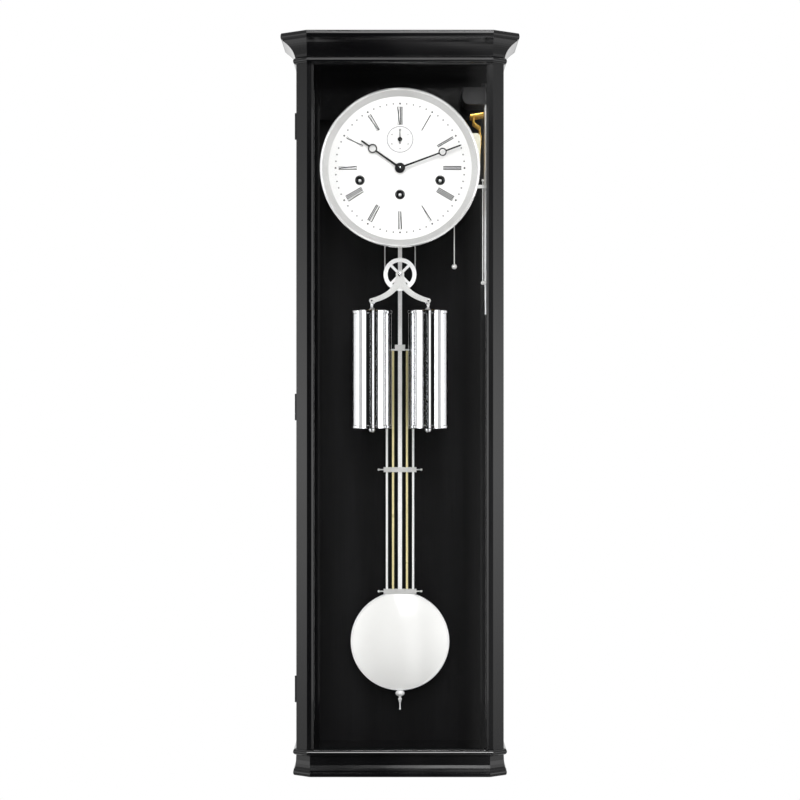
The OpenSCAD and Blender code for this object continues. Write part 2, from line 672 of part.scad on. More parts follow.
module pendulum_bridges() color([0.8, 0.8, 0.8]) hung() {
    difference() {
        union() {
            for (z = bridge_heights) {
                box(-25.5, 25.5, pendulum_y - 3.4, pendulum_y + 3.4, z - 3.75, z + 3.75);
                both() rod_x(pendulum_y, z, 0.9, 25, 33);
                both() ball(33, pendulum_y, z, 1.9);
            }
            box(-8, 8, pendulum_y - 3.2, pendulum_y + 3.2, 643.4, 652.6);
            box(-24, 24, pendulum_y - 2.6, pendulum_y + 2.6, 643.4, 646);
        }
        box(-3.15, 3.15, pendulum_y - 1.55, pendulum_y + 1.55, 200, 700);
        for (x = [10.8, 20.4]) both()
            rod_z(x, pendulum_y, 1.8, bridge_heights[1] - 1, 643.4);
    }
}

// The slot for the bar and the notch for the lower bridge
module bob_slots() {
    box(-3.2, 3.2, pendulum_y - 2.1, pendulum_y + 2.1, bob_z - 90, bob_z + 90);
    box(-26, 26, pendulum_y - 3.6, pendulum_y + 3.6, bridge_heights[1] - 4, bob_z + 90);
}

// Two shallow domes back to back, each a part of a sphere, in steps
dome_edge = 3;
dome_steps = 20;
dome_r = bob_r - 2.4;
dome_h = bob_t / 2 - dome_edge;
dome_sphere = (dome_r * dome_r + dome_h * dome_h) / (2 * dome_h);
function dome_y(r) = dome_edge + dome_h - dome_sphere + sqrt(dome_sphere * dome_sphere - r * r);
module bob() color([0.93, 0.93, 0.93]) hung() difference() {
    turned(0, bob_z, pendulum_y) polygon(concat(
        [for (i = [0:dome_steps]) [dome_r * i / dome_steps, -dome_y(dome_r * i / dome_steps)]],
        [for (i = [dome_steps:-1:0]) [dome_r * i / dome_steps, dome_y(dome_r * i / dome_steps)]]));
    bob_slots();
}

module bob_rim() color([0.85, 0.85, 0.85]) hung() difference() {
    turned(0, bob_z, pendulum_y) polygon([[bob_r - 2.3, -3.4], [bob_r - 0.8, -3.4], [bob_r, -2],
        [bob_r, 2], [bob_r - 0.8, 3.4], [bob_r - 2.3, 3.4]]);
    bob_slots();
}

module rating_nut() color([0.8, 0.8, 0.8]) hung() difference() {
    turned_z(0, pendulum_y) polygon([[0, 107.2], [4.2, 107.2], [6.3, 108.7], [7.3, 111.3],
        [6.3, 113.9], [4.2, 115.5], [0, 115.5]]);
    rod_z(0, pendulum_y, 2.05, 100, 120);
}

// ---------------------------------------------------------------- chimes
module gong_block() color([0.05, 0.05, 0.05]) hung() difference() {
    slab(-112, rail_y - 0.2) difference() {
        translate([95.2, 1017]) square([46, gong_top_z - 1017]);
        translate([95.2, 1017]) difference() {
            square(11);
            translate([11, 11]) circle(r = 11);
        }
    }
    for (i = [0:chimes - 1]) rod_z(chime_x, chime_y + i * chime_gap, gong_r, 1010, 1024);
}

module gong_rods() color([0.75, 0.75, 0.75]) hung() for (i = [0:chimes - 1])
    rod_z(chime_x, chime_y + i * chime_gap, gong_r, 697 + 22 * i, 1023);

module hammer_rail() color([0.75, 0.75, 0.75]) hung() {
    box(84, 86, -112, -48, 889, 935);
    for (y = [-112, -50]) box(84, 122, y, y + 2, 918, 932);
    slab(-114, -112) polygon([[100, 917], [121.3, 917], [122.8, 964], [121.6, 970], [118, 972.8],
        [100, 972.8]]);
    rod_y(hammer_x, hammer_z, 1.5, -112, -48);
    difference() {
        box(84, 130, -115, -110, 889, 894);
        rod_z(guide_x, guide_y, 0.8, 880, 900);
    }
}

module hammer(i) hung() {
    y = chime_y + i * chime_gap;
    difference() {
        union() {
            slab(y - 3, y + 3) polygon([[114, 919], [121.4, 919], [124.3, 970], [121.6, 973],
                [119, 970]]);
            translate([117.5, y, 1002]) rotate([0, 81, 0]) translate([0, 0, -10])
                cylinder(r = 3.5, h = 20);
            wire([[112.6, 1001], [112.6, 990], [121.6, 983], [121.8, 968]], y, 1.2);
        }
        rod_y(hammer_x, hammer_z, 1.5 + fit, y - 5, y + 5);
    }
}
module hammer_1() color("goldenrod") hammer(0);
module hammer_2() color("goldenrod") hammer(1);
module hammer_3() color("goldenrod") hammer(2);
module hammer_4() color("goldenrod") hammer(3);

module pull_right() color("silver") hung() {
    rod_z(guide_x, guide_y, 0.7, 745, 901);
    ball(guide_x, guide_y, 901, 2);
    ball(guide_x, guide_y, 745, 3);
    rod_x(guide_y, 745, 0.8, guide_x, guide_x + 5.2);
    ball(guide_x + 5.2, guide_y, 745, 3);
}
module pull_left() color("silver") hung() {
    rod_z(low_pull_x, low_pull_y, 0.7, 770, 866);
    ball(low_pull_x, low_pull_y, 866, 2);
    ball(low_pull_x, low_pull_y, 770, 4);
}

back_panel();
hanging_rail();
hanger_plate();
case_screws();
front_posts();
rear_posts();
side_glass();
top_board();
cornice();
bottom_board();
base_moulding();
door_stiles();
door_rails();
door_glass();
glass_stops();
hinge_door_leaves();
hinge_case_leaves();
dial_disc();
dial_ring();
bezel();
winding_grommets();
hour_hand();
minute_hand();
second_hand();
front_plate();
back_plate();
pillars();
brackets();
spring_barrels();
cable_drum();
centre_wheel();
third_wheel();
escape_wheel();
anchor_crutch();
cannon_pinion();
minute_wheel();
hour_wheel();
cable_run_left();
cable_run_right();
cable_loop();
pulley();
yoke();
weight_left();
weight_right();
pendulum_bar();
brass_rods();
steel_rods();
pendulum_bridges();
bob();
bob_rim();
rating_nut();
gong_block();
gong_rods();
hammer_rail();
hammer_1();
hammer_2();
hammer_3();
hammer_4();
pull_right();
pull_left();
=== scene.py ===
"""Looks of a wall-hung regulator clock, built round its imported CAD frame."""

import math

import bmesh
import bpy
from mathutils import Matrix, Vector


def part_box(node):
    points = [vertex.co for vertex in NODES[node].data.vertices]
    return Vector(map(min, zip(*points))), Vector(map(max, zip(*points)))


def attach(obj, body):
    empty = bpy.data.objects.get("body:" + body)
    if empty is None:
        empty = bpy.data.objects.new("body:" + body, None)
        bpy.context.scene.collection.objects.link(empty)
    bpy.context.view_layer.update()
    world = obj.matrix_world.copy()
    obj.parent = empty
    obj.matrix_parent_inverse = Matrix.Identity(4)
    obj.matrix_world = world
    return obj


bl_info = {
    "name": "Wall Regulator Clock",
    "version": (1, 0, 0),
    "blender": (4, 5, 0),
    "location": "View3D > Sidebar > Clock",
    "description": "Finishes, dial printing and small fittings of a wall-hung regulator clock",
    "category": "Object",
}

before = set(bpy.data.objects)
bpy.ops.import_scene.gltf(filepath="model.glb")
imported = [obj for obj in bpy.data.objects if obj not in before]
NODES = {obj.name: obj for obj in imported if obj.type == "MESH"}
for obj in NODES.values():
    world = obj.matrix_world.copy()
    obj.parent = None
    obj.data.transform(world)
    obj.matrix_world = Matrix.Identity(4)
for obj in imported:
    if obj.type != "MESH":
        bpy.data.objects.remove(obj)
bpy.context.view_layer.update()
MM = 0.001
FACE_ON = math.radians(90)


# ---------------------------------------------------------------- places taken from the frame
def middle(name):
    """The middle of a CAD node's box."""
    low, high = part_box(name)
    return (Vector(low) + Vector(high)) / 2


def front(name):
    """How far forward a CAD node reaches."""
    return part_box(name)[0][1]


DIAL = middle("dial_disc")
DIAL_FACE = front("dial_disc")
SECONDS_UP = 43.6 * MM
LINE_Y = middle("pulley").y


# ---------------------------------------------------------------- sizes and colours
class ClockSizes(bpy.types.PropertyGroup):
    numeral_inner: bpy.props.FloatProperty(
        name="Numerals, inner end", description="Radius where the numerals start",
        default=66 * MM, min=0, unit="LENGTH")
    numeral_outer: bpy.props.FloatProperty(
        name="Numerals, outer end", description="Radius where the numerals end",
        default=93 * MM, min=0, unit="LENGTH")
    stroke: bpy.props.FloatProperty(
        name="Thick stroke", description="Width of a numeral's thick stroke",
        default=1.5 * MM, min=0, unit="LENGTH")
    hairline: bpy.props.FloatProperty(
        name="Hairline", description="Width of a numeral's thin stroke",
        default=0.5 * MM, min=0, unit="LENGTH")
    minute_track: bpy.props.FloatProperty(
        name="Minute dots", description="Radius of the ring of minute dots",
        default=98 * MM, min=0, unit="LENGTH")
    seconds_ring: bpy.props.FloatProperty(
        name="Seconds ring", description="Radius of the ring round the seconds dial",
        default=19.7 * MM, min=0, unit="LENGTH")
    ink: bpy.props.FloatProperty(
        name="Ink", description="How far the printing stands off the dial",
        default=0.12 * MM, min=0, unit="LENGTH")


def colour(name, text, default):
    """A colour property, given as linear light."""
    return bpy.props.FloatVectorProperty(
        name=name, description=text, subtype="COLOR", size=4, min=0, max=1, default=default)


def linear(code):
    """The linear colour of an sRGB hex value such as #1A2B3C."""
    parts = [int(code[i:i + 2], 16) / 255 for i in (1, 3, 5)]
    return tuple(p / 12.92 if p <= 0.04045 else ((p + 0.055) / 1.055) ** 2.4 for p in parts) + (1.0,)


class ClockColours(bpy.types.PropertyGroup):
    lacquer: colour("Case lacquer", "Black lacquer on the case", linear("#060607"))
    stain: colour("Back panel stain", "Black stain on the open-grained back panel", linear("#0A0A0B"))
    enamel: colour("Dial", "White of the dial", linear("#F2F2F1"))
    chrome: colour("Chrome", "Bright chromium plate", linear("#F2F3F5"))
    nickel: colour("Nickel", "Satin nickel plate", linear("#E4E4E2"))
    pearl: colour("Bob", "Pearl white lacquer on the bob", linear("#F7F7F5"))
    brass: colour("Brass", "Lacquered brass of the movement and hammers", linear("#D9AE4F"))
    pale_brass: colour("Rod brass", "Pale brass of the pendulum's inner rods", linear("#F0E2A8"))
    cream: colour("Hammer base", "Cream moulding that carries the hammers", linear("#F6F2DC"))


def sizes():
    return bpy.context.scene.clock_sizes


def colours():
    return bpy.context.scene.clock_colours


# ---------------------------------------------------------------- materials
def add(tree, kind, settings=None, values=None, links=None):
    """Adds one node with its settings, its socket values and its links."""
    made = tree.nodes.new(kind)
    for key, value in (settings or {}).items():
        setattr(made, key, value)
    for key, value in (values or {}).items():
        made.inputs[key].default_value = value
    for key, source in (links or {}).items():
        tree.links.new(source, made.inputs[key])
    return made


def material(name):
    """A new material with its nodes cleared, and its tree."""
    made = bpy.data.materials.new(name)
    made.use_nodes = True
    made.node_tree.nodes.clear()
    return made, made.node_tree


def finish_with(tree, shader):
    add(tree, "ShaderNodeOutputMaterial", links={"Surface": shader.outputs[0]})


def pattern(tree, scale, detail=3.0, roughness=0.5):
    """Noise on Object coordinates, stretched by a scale per metre along each axis."""
    place = add(tree, "ShaderNodeTexCoord")
    turned = add(tree, "ShaderNodeMapping", values={"Scale": scale},
                 links={"Vector": place.outputs["Object"]})
    return add(tree, "ShaderNodeTexNoise", values={"Scale": 1.0, "Detail": detail, "Roughness": roughness},
               links={"Vector": turned.outputs[0]})


def ranged(tree, source, low, high, start=0.3, end=0.7):
    """A value between low and high as the source goes from start to end."""
    return add(tree, "ShaderNodeMapRange",
               values={"From Min": start, "From Max": end, "To Min": low, "To Max": high},
               links={"Value": source})


def shaded(tree, source, low, high):
    """A colour between low and high, by the source."""
    return add(tree, "ShaderNodeMix", {"data_type": "RGBA"}, {6: low, 7: high}, {0: source})


def bumped(tree, source, distance, strength=1.0):
    return add(tree, "ShaderNodeBump", values={"Strength": strength, "Distance": distance},
               links={"Height": source})


def scaled_colour(base, share):
    return tuple(part * share for part in base[:3]) + (1.0,)


def lacquered_beech(name, base, along, gloss, depth, tone):
    """Beech under black lacquer. The film is thick and smooth, so the eye gets clear reflections, and only
    faint pores and a slow ripple show through it. Pores are 0.3 mm wide and drawn at about 1 mm, to show."""
    made, tree = material(name)
    across, length = 900.0, 22.0
    grain = pattern(tree, tuple(length if axis == along else across for axis in "xyz"), 4.0, 0.6)
    ripple = pattern(tree, (9.0, 9.0, 5.0), 2.0)
    lit = ranged(tree, grain.outputs[0], 0.0, 1.0, 0.42, 0.72)
    worn = ranged(tree, ripple.outputs[0], gloss - 0.03, gloss + 0.05)
    dips = bumped(tree, grain.outputs[0], depth, 0.5)
    wave = add(tree, "ShaderNodeBump", values={"Strength": 0.15, "Distance": 0.0006},
               links={"Height": ripple.outputs[0], "Normal": dips.outputs[0]})
    shader = add(tree, "ShaderNodeBsdfPrincipled",
                 values={"IOR": 1.42, "Coat Weight": 0.08, "Coat Roughness": 0.05},
                 links={"Base Color": shaded(tree, lit.outputs[0], base,
                                             scaled_colour(base, tone)).outputs[2],
                        "Roughness": worn.outputs[0], "Normal": wave.outputs[0]})
    finish_with(tree, shader)
    return made


def stained_oak(base):
    """Open-grained oak veneer, stained black and oiled: matt, with long vertical pores that catch the light.
    Pores are 0.3 mm wide and drawn at about 1.5 mm."""
    made, tree = material("stained_oak")
    grain = pattern(tree, (620.0, 620.0, 9.0), 5.0, 0.62)
    figure = pattern(tree, (26.0, 26.0, 1.6), 3.0)
    mixed = add(tree, "ShaderNodeMath", {"operation": "MULTIPLY"},
                links={0: grain.outputs[0], 1: figure.outputs[0]})
    lit = ranged(tree, mixed.outputs[0], 0.0, 1.0, 0.12, 0.42)
    rough = ranged(tree, grain.outputs[0], 0.42, 0.6)
    shader = add(tree, "ShaderNodeBsdfPrincipled", values={"IOR": 1.2},
                 links={"Base Color": shaded(tree, lit.outputs[0], scaled_colour(base, 0.7),
                                             scaled_colour(base, 2.2)).outputs[2],
                        "Roughness": rough.outputs[0],
                        "Normal": bumped(tree, grain.outputs[0], 0.0003, 0.6).outputs[0]})
    finish_with(tree, shader)
    return made


def float_glass():
    """Clear float glass. Its reflection is 4% face on and grows to all of the light edge on, by the facing
    angle, which is the same on both sides of a pane."""
    made, tree = material("float_glass")
    facing = add(tree, "ShaderNodeLayerWeight", values={"Blend": 0.5})
    steep = add(tree, "ShaderNodeMath", {"operation": "POWER"}, {1: 5.0}, {0: facing.outputs["Facing"]})
    weigh = add(tree, "ShaderNodeMath", {"operation": "MULTIPLY_ADD"}, {1: 0.96, 2: 0.04},
                {0: steep.outputs[0]})
    clear = add(tree, "ShaderNodeBsdfTransparent", values={"Color": linear("#FDFDFD")})
    mirror = add(tree, "ShaderNodeBsdfPrincipled",
                 values={"Base Color": linear("#FFFFFF"), "Metallic": 1.0, "Roughness": 0.0})
    mixed = add(tree, "ShaderNodeMixShader",
                links={0: weigh.outputs[0], 1: clear.outputs[0], 2: mirror.outputs[0]})
    finish_with(tree, mixed)
    return made


def plated(name, base, rough, smudge, metallic=1.0, grain=None, depth=0.0, coat=0.0):
    """Bare, plated or blackened metal: a base colour, and a roughness that wanders by smudge. Where grain is
    given, as a scale per metre along each axis, it has brush or turning marks too."""
    made, tree = material(name)
    wander = pattern(tree, (55.0, 55.0, 55.0), 3.0)
    rough_now = ranged(tree, wander.outputs[0], max(0.02, rough - smudge), rough + smudge)
    tone = ranged(tree, wander.outputs[0], 0.0, 1.0)
    links = {"Base Color": shaded(tree, tone.outputs[0], scaled_colour(base, 0.95), base).outputs[2],
             "Roughness": rough_now.outputs[0]}
    if grain:
        marks = pattern(tree, grain, 2.0)
        links["Normal"] = bumped(tree, marks.outputs[0], depth, 0.5).outputs[0]
    shader = add(tree, "ShaderNodeBsdfPrincipled",
                 values={"Metallic": metallic, "Coat Weight": coat, "Coat Roughness": 0.03}, links=links)
    finish_with(tree, shader)
    return made


def coated(name, base, rough, coat, texture, depth):
    """Enamel, lacquer, ink or black nylon: an even colour, a slight unevenness of the skin, and a clear top
    coat where coat is above 0."""
    made, tree = material(name)
    peel = pattern(tree, (texture, texture, texture), 3.0)
    tone = ranged(tree, peel.outputs[0], 0.0, 1.0)
    shader = add(tree, "ShaderNodeBsdfPrincipled",
                 values={"Roughness": rough, "IOR": 1.5, "Coat Weight": coat, "Coat Roughness": 0.015},
                 links={"Base Color": shaded(tree, tone.outputs[0], scaled_colour(base, 0.97),
                                             base).outputs[2],
                        "Normal": bumped(tree, peel.outputs[0], depth, 0.2).outputs[0]})
    finish_with(tree, shader)
    return made


def stranded_cable():
    """Steel cable: fine strands laid in a helix at 40 degrees. Its base colour is painted lighter on the
    strands' crowns and darker in the grooves between them, a painted highlight and painted shade, so light
    and dark bands climb it.
    A strand is 0.2 mm wide and drawn at 0.8 mm, to show."""
    made, tree = material("stranded_cable")
    place = add(tree, "ShaderNodeTexCoord")
    lay = add(tree, "ShaderNodeMapping", values={"Rotation": (0.0, math.radians(40), 0.0)},
              links={"Vector": place.outputs["Object"]})
    strands = add(tree, "ShaderNodeTexWave", {"bands_direction": "Z"},
                  {"Scale": 200.0, "Distortion": 0.4, "Detail": 1.0}, {"Vector": lay.outputs[0]})
    # painted highlight and painted shade: the wave bands make the base colour lighter on each strand and
    # darker between strands
    shader = add(tree, "ShaderNodeBsdfPrincipled", values={"Metallic": 0.9, "Roughness": 0.32},
                 links={"Base Color": shaded(tree, strands.outputs[1], linear("#8C8C8C"),
                                             linear("#E2E2E2")).outputs[2],
                        "Normal": bumped(tree, strands.outputs[1], 0.0003).outputs[0]})
    finish_with(tree, shader)
    return made


def hammer_base():
    """Cream moulded nylon above, on its bright steel guide below. Nylon is waxy, with a soft shine."""
    made, tree = material("hammer_base")
    place = add(tree, "ShaderNodeTexCoord")
    parts = add(tree, "ShaderNodeSeparateXYZ", links={0: place.outputs["Object"]})
    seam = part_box("hammer_rail")[0][2] + 15 * MM
    above = add(tree, "ShaderNodeMath", {"operation": "GREATER_THAN"}, {1: seam}, {0: parts.outputs[2]})
    mottle = pattern(tree, (300.0, 300.0, 300.0), 3.0)
    cream = shaded(tree, mottle.outputs[0], scaled_colour(colours().cream, 0.94), colours().cream)
    both = add(tree, "ShaderNodeMix", {"data_type": "RGBA"}, {6: linear("#D6D6D4")},
               {0: above.outputs[0], 7: cream.outputs[2]})
    metal = ranged(tree, above.outputs[0], 1.0, 0.0, 0.0, 1.0)
    shader = add(tree, "ShaderNodeBsdfPrincipled", values={"Roughness": 0.38},
                 links={"Base Color": both.outputs[2], "Metallic": metal.outputs[0],
                        "Normal": bumped(tree, mottle.outputs[0], 0.0001, 0.3).outputs[0]})
    finish_with(tree, shader)
    return made


def cast_iron():
    """Sand-cast iron, painted black: a coarse skin with a dull sheen. The sand grain is 0.4 mm."""
    made, tree = material("cast_iron")
    skin = pattern(tree, (1400.0, 1400.0, 1400.0), 4.0, 0.65)
    rough = ranged(tree, skin.outputs[0], 0.4, 0.65)
    lit = ranged(tree, skin.outputs[0], 0.0, 1.0)
    shader = add(tree, "ShaderNodeBsdfPrincipled",
                 links={"Base Color": shaded(tree, lit.outputs[0], linear("#060607"),
                                             linear("#101012")).outputs[2],
                        "Roughness": rough.outputs[0],
                        "Normal": bumped(tree, skin.outputs[0], 0.0004, 0.8).outputs[0]})
    finish_with(tree, shader)
    return made


SHELF = {}


def shelf():
    """Every finish, made once."""
    if not SHELF:
        tones = colours()
        SHELF.update(
            upright=lacquered_beech("lacquered_beech_upright", tones.lacquer, "z", 0.1, 0.00002, 1.5),
            level=lacquered_beech("lacquered_beech_level", tones.lacquer, "x", 0.1, 0.00002, 1.5),
            panel=stained_oak(tones.stain),
            glass=float_glass(),
            black_steel=plated("blackened_steel", linear("#1B1B1D"), 0.34, 0.06, 0.8),
            zinc=plated("zinc_plated_steel", linear("#C3C6C8"), 0.34, 0.1, grain=(400.0, 400.0, 400.0),
                        depth=0.0001),
            enamel=coated("white_dial_enamel", tones.enamel, 0.35, 0.5, 900.0, 0.00004),
            ring=plated("silvered_brass", linear("#D2D2D1"), 0.34, 0.05, 0.35),
            bezel=plated("polished_nickel", linear("#F8F8F8"), 0.12, 0.02, 0.7, coat=1.0),
            chrome=plated("chromium_plate", tones.chrome, 0.02, 0.0),
            bush=coated("black_nylon", linear("#0A0A0A"), 0.3, 0.3, 1200.0, 0.00003),
            hand=coated("black_hand_lacquer", linear("#060607"), 0.25, 0.6, 1500.0, 0.00002),
            ink=coated("dial_ink", linear("#17171A"), 0.5, 0.0, 2500.0, 0.00001),
            grey_ink=coated("grey_dial_ink", linear("#6E6E72"), 0.5, 0.0, 2500.0, 0.00001),
            brass=plated("lacquered_brass", tones.brass, 0.24, 0.05, grain=(700.0, 700.0, 60.0),
                         depth=0.00006, coat=0.3),
            rod=plated("drawn_brass_rod", tones.pale_brass, 0.3, 0.03, 0.25, coat=0.5),
            nickel=plated("satin_nickel", tones.nickel, 0.34, 0.02, 0.6, coat=0.1),
            # painted reflection: these nickel parts have a near-white base colour and little metal, so they
            # look as bright as a reflection of the room
            bright=plated("nickel_painted_reflection", linear("#FCFCFC"), 0.3, 0.02, 0.1, coat=0.5),
            cable=stranded_cable(),
            bob=coated("pearl_lacquered_brass", tones.pearl, 0.4, 1.0, 40.0, 0.0001),
            iron=cast_iron(),
            gong=plated("drawn_steel_rod", linear("#F4F4F4"), 0.3, 0.02, 0.2, coat=0.3),
            base=hammer_base(),
            bracket=plated("bright_mild_steel", linear("#A9ABAD"), 0.36, 0.08, grain=(300.0, 900.0, 300.0),
                           depth=0.00008),
        )
    return SHELF


def paint(finish, *names):
    """Gives CAD nodes a finish."""
    for name in names:
        for place in NODES[name].material_slots:
            place.material = shelf()[finish]


# ---------------------------------------------------------------- modelling
def deselect():
    if bpy.context.object and bpy.context.object.mode != "OBJECT":
        bpy.ops.object.mode_set(mode="OBJECT")
    bpy.ops.object.select_all(action="DESELECT")


def choose(*objects):
    deselect()
    for one in objects:
        one.select_set(True)
    bpy.context.view_layer.objects.active = objects[0]


def bevelled(made, width, segments=2):
    """Rounds an object's sharp edges with an applied bevel."""
    choose(made)
    round_off = made.modifiers.new("edges", "BEVEL")
    round_off.width, round_off.segments, round_off.limit_method = width, segments, "ANGLE"
    bpy.ops.object.modifier_apply(modifier=round_off.name)
    return made


def settled(made, name, finish, body, smooth=True):
    """Names a finished piece, puts its place into its mesh, and rides it on its body."""
    choose(made)
    bpy.ops.object.transform_apply(location=True, rotation=True, scale=True)
    if smooth:
        bpy.ops.object.shade_smooth_by_angle(angle=math.radians(35))
    made.name = made.data.name = name
    made.data.materials.clear()
    made.data.materials.append(shelf()[finish])
    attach(made, body)
    return made


def disc(place, radius, depth, sides=48):
    """A disc that faces forward."""
    deselect()
    bpy.ops.mesh.primitive_cylinder_add(vertices=sides, radius=radius, depth=depth, location=place,
                                        rotation=(FACE_ON, 0, 0))
    return bpy.context.object


def block(place, size):
    deselect()
    bpy.ops.mesh.primitive_cube_add(size=1, location=place)
    made = bpy.context.object
    made.scale = size
    bpy.ops.object.transform_apply(location=False, rotation=False, scale=True)
    return made


def hoop(place, radius, thickness, sides=64, facets=10):
    """A ring that faces forward."""
    deselect()
    bpy.ops.mesh.primitive_torus_add(major_radius=radius, minor_radius=thickness, major_segments=sides,
                                     minor_segments=facets, location=place, rotation=(FACE_ON, 0, 0))
    return bpy.context.object


def cut(made, tool):
    """Cuts one object's shape out of another."""
    choose(made)
    saw = made.modifiers.new("cut", "BOOLEAN")
    saw.object, saw.operation, saw.solver = tool, "DIFFERENCE", "EXACT"
    bpy.ops.object.modifier_apply(modifier=saw.name)
    bpy.data.objects.remove(tool, do_unlink=True)
    return made


def joined(*objects):
    choose(*objects)
    bpy.ops.object.join()
    return bpy.context.object


def spread(master, places):
    """Copies a master to each place, each copy with its own mesh, joins them, and removes the master."""
    made = []
    for place in places:
        one = master.copy()
        one.data = master.data.copy()
        bpy.context.collection.objects.link(one)
        one.matrix_world = place
        made.append(one)
    bpy.data.objects.remove(master, do_unlink=True)
    return joined(*made) if len(made) > 1 else made[0]


def slotted_head(place, radius, depth, turn=0.0):
    """A cheese-headed screw that faces forward, with its slot turned by turn degrees."""
    made = disc(place, radius, depth, 32)
    slot = block((0, 0, 0), (radius * 2.4, depth, radius * 0.3))
    slot.rotation_euler = (0, math.radians(turn), 0)
    slot.location = Vector(place) + Vector((0, -depth * 0.7, 0))
    bpy.context.view_layer.update()
    return bevelled(cut(made, slot), radius * 0.08)


def clockwise(centre, degrees, radius, y):
    """A point at an angle clockwise from the top of a dial, as seen from the front."""
    turn = math.radians(degrees)
    return Vector((centre.x + radius * math.sin(turn), y, centre.z + radius * math.cos(turn)))


# ---------------------------------------------------------------- dial printing
SUNK = 0.02 * MM  # how far the printing is sunk into the dial


def ink_plane(size):
    """Where the middle of the ink's depth lies in y."""
    return DIAL_FACE - size.ink / 2 + SUNK


def ink_stroke():
    """A stroke of ink, one unit long and wide, with its front edges rounded over."""
    made = block((0, 0, 0), (1, 1, 1))
    choose(made)
    bpy.ops.object.mode_set(mode="EDIT")
    bpy.ops.mesh.select_all(action="DESELECT")
    shape = bmesh.from_edit_mesh(made.data)
    for face in shape.faces:
        face.select = face.normal.y < -0.5
    bmesh.update_edit_mesh(made.data)
    bpy.ops.mesh.inset(thickness=0.06, depth=0.0)
    bpy.ops.object.mode_set(mode="OBJECT")
    return made


def line_place(centre, start, end, width, y, depth):
    """The matrix that lays a unit stroke from start to end, both (x, z) from a dial's centre."""
    across, up = end[0] - start[0], end[1] - start[1]
    turn = Matrix.Rotation(math.atan2(across, up), 4, "Y")
    at = Matrix.Translation((centre.x + (start[0] + end[0]) / 2, y, centre.z + (start[1] + end[1]) / 2))
    return at @ turn @ Matrix.Diagonal((width, depth, math.hypot(across, up), 1))


LETTER_WIDTH = {"I": 2.2 * MM, "V": 3.6 * MM, "X": 3.8 * MM}
HOURS = ("XII", "I", "II", "III", "IIII", "V", "VI", "VII", "VIII", "IX", "X", "XI")


def numeral_lines(word, low, high):
    """The strokes of a numeral as (start, end, is thick), each point (across, out from the dial's centre)."""
    across = -sum(LETTER_WIDTH[letter] for letter in word) / 2
    lines = []
    for letter in word:
        wide = LETTER_WIDTH[letter]
        left, mid, right = across, across + wide / 2, across + wide
        inset = wide * 0.14
        if letter == "I":
            lines.append(((mid, low), (mid, high), True))
        elif letter == "V":
            lines.append(((left + inset, high), (mid, low), True))
            lines.append(((right - inset, high), (mid, low), False))
        else:
            lines.append(((left + inset, high), (right - inset, low), True))
            lines.append(((right - inset, high), (left + inset, low), False))
        for end in (low, high):
            if letter == "I" or end == high or letter == "X":
                lines.append(((left + inset, end), (right - inset, end), False))
        across += wide
    return lines


def turned_point(point, degrees):
    """A point given as (across, out) at an hour's place, as (x, z) from the dial's centre."""
    turn = math.radians(degrees)
    across, out = point
    return (across * math.cos(turn) + out * math.sin(turn), -across * math.sin(turn) + out * math.cos(turn))


class CLOCK_OT_numerals(bpy.types.Operator):
    """Print the twelve Roman numerals"""
    bl_idname = "clock.numerals"
    bl_label = "Numerals"

    def execute(self, context):
        size = sizes()
        y = ink_plane(size)
        places = []
        for hour, word in enumerate(HOURS):
            for start, end, thick in numeral_lines(word, size.numeral_inner, size.numeral_outer):
                places.append(line_place(DIAL, turned_point(start, hour * 30), turned_point(end, hour * 30),
                                         size.stroke if thick else size.hairline, y, size.ink))
        settled(spread(ink_stroke(), places), "numerals", "ink", "case", smooth=False)
        return {"FINISHED"}


class CLOCK_OT_minute_dots(bpy.types.Operator):
    """Print the ring of minute dots, larger at each fifth minute"""
    bl_idname = "clock.minute_dots"
    bl_label = "Minute dots"

    def execute(self, context):
        size = sizes()
        y = ink_plane(size)
        for name, radius, minutes in (("five_minute_dots", 1.4 * MM, range(0, 60, 5)),
                                      ("minute_dots", 1.1 * MM, [m for m in range(60) if m % 5])):
            dot = bevelled(disc((0, 0, 0), radius, size.ink, 16), size.ink * 0.4, 1)
            choose(dot)
            bpy.ops.object.transform_apply(location=True, rotation=True, scale=True)
            places = [Matrix.Translation(clockwise(DIAL, m * 6, size.minute_track, y)) for m in minutes]
            settled(spread(dot, places), name, "ink", "case", smooth=False)
        return {"FINISHED"}


class CLOCK_OT_seconds_dial(bpy.types.Operator):
    """Print the seconds dial: its ring, its sixty marks and its figures"""
    bl_idname = "clock.seconds_dial"
    bl_label = "Seconds dial"

    def execute(self, context):
        size = sizes()
        centre = DIAL + Vector((0, 0, SECONDS_UP))
        y = ink_plane(size)
        ring = hoop((centre.x, DIAL_FACE, centre.z), size.seconds_ring, 0.42 * MM, 96, 8)
        ring.scale = (1, 1, 0.4)
        settled(ring, "seconds_ring", "grey_ink", "case")
        places = []
        for second in range(60):
            long = second % 5 == 0
            inner = size.seconds_ring - (2.4 if long else 1.5) * MM
            places.append(line_place(centre, turned_point((0, inner), second * 6),
                                     turned_point((0, size.seconds_ring), second * 6),
                                     (0.34 if long else 0.16) * MM, y, size.ink))
        settled(spread(ink_stroke(), places), "seconds_marks", "grey_ink", "case", smooth=False)
        figures = []
        for tens in range(1, 7):
            spot = clockwise(centre, tens * 60, 14.2 * MM, DIAL_FACE + 0.01 * MM)
            deselect()
            bpy.ops.object.text_add(location=spot, rotation=(FACE_ON, 0, 0))
            figure = bpy.context.object
            figure.data.body = str(tens * 10)
            figure.data.size = 3.6 * MM
            figure.data.align_x, figure.data.align_y = "CENTER", "CENTER"
            figure.data.extrude = size.ink
            bpy.ops.object.convert(target="MESH")
            figures.append(bpy.context.object)
        settled(joined(*figures), "seconds_figures", "ink", "case", smooth=False)
        return {"FINISHED"}


